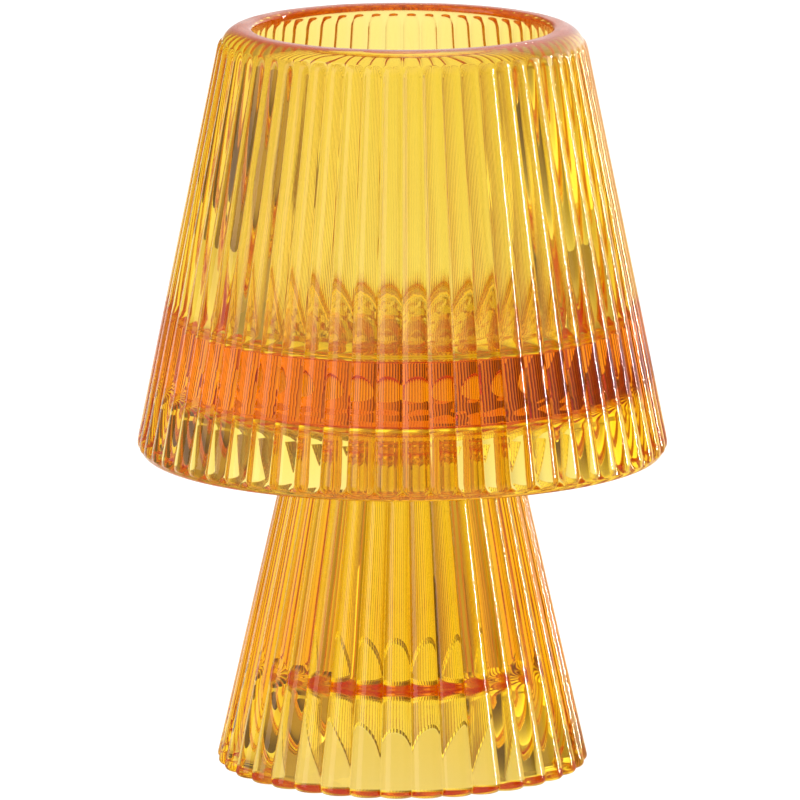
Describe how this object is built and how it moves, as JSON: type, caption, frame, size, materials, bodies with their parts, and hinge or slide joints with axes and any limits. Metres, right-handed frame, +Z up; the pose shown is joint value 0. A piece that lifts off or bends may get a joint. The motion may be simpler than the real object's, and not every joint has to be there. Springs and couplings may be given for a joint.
{
  "type": "tealight holder",
  "caption": "Ribbed pressed-glass tealight holder shaped like a small table lamp: a deep cup with a flared skirt, bonded to a hollow conical foot.",
  "frame": {"origin": "on the axis, at the plane the foot stands on", "axes": "+Z up along the axis, out of the mouth of the candle well; a groove of the shade faces -Y, and the round object has no front of its own"},
  "size_m": [0.1002, 0.1002, 0.14],
  "materials": {
    "foot_glass": "clear amber-yellow pressed glass, fire-polished",
    "adhesive": "cured clear adhesive film",
    "shade_glass": "clear amber-yellow pressed glass, fire-polished"
  },
  "bodies": {
    "root": {"foot": "foot_glass", "bond": "adhesive", "shade": "shade_glass"}
  },
  "joints": []
}
